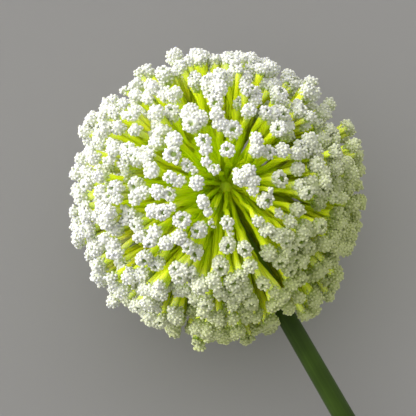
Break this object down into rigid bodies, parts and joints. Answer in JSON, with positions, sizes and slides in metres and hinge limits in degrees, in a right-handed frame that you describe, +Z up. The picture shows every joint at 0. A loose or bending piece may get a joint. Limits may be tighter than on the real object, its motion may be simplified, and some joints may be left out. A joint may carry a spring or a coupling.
{
  "type": "giant allium flower head",
  "caption": "Globe of small white-crusted florets on radiating lime green stalks, on a short cut length of dark green stem, lying on a surface.",
  "frame": {"origin": "on the surface that the flower lies on, straight below the middle of the head, at the floret that rests there", "axes": "+X along the surface from the head towards the cut end of the stem, +Z up from the surface"},
  "size_m": [0.2267, 0.1166, 0.1165],
  "materials": {
    "floret_white": "matte",
    "pedicel_lime": "satin",
    "stem_green": "satin"
  },
  "bodies": {
    "root": {"flower_head": "floret_white", "stem": "stem_green"}
  },
  "joints": []
}
